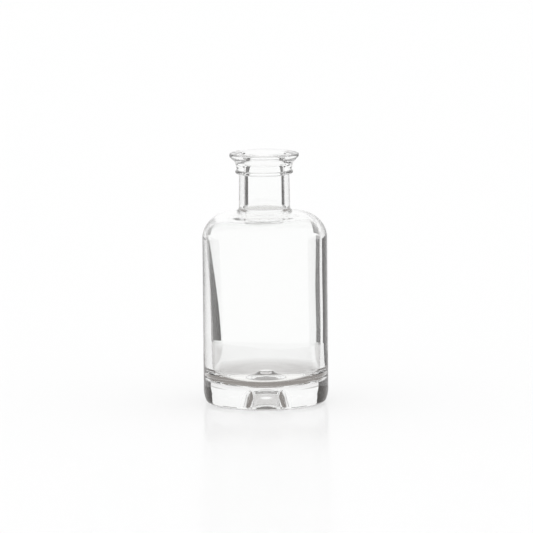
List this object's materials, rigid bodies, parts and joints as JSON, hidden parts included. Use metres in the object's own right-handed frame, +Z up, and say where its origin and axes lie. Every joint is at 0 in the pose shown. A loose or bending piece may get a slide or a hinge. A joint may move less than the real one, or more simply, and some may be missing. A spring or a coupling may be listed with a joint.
{
  "type": "glass apothecary bottle",
  "caption": "Clear round glass bottle with a thick pushed-up base, sloping shoulder, straight neck, bead ring and flared lip for a cork.",
  "frame": {"origin": "centre of the flat ring that the bottle stands on", "axes": "+Z up along the bottle's axis, from the base to the mouth; the bottle is round, so X and Y are free"},
  "size_m": [0.065, 0.065, 0.1307],
  "materials": {
    "clear_glass": "clear colourless bottle glass, fire-polished outside, slightly wavy inside"
  },
  "bodies": {
    "root": {"glass_bottle": "clear_glass"}
  },
  "joints": []
}
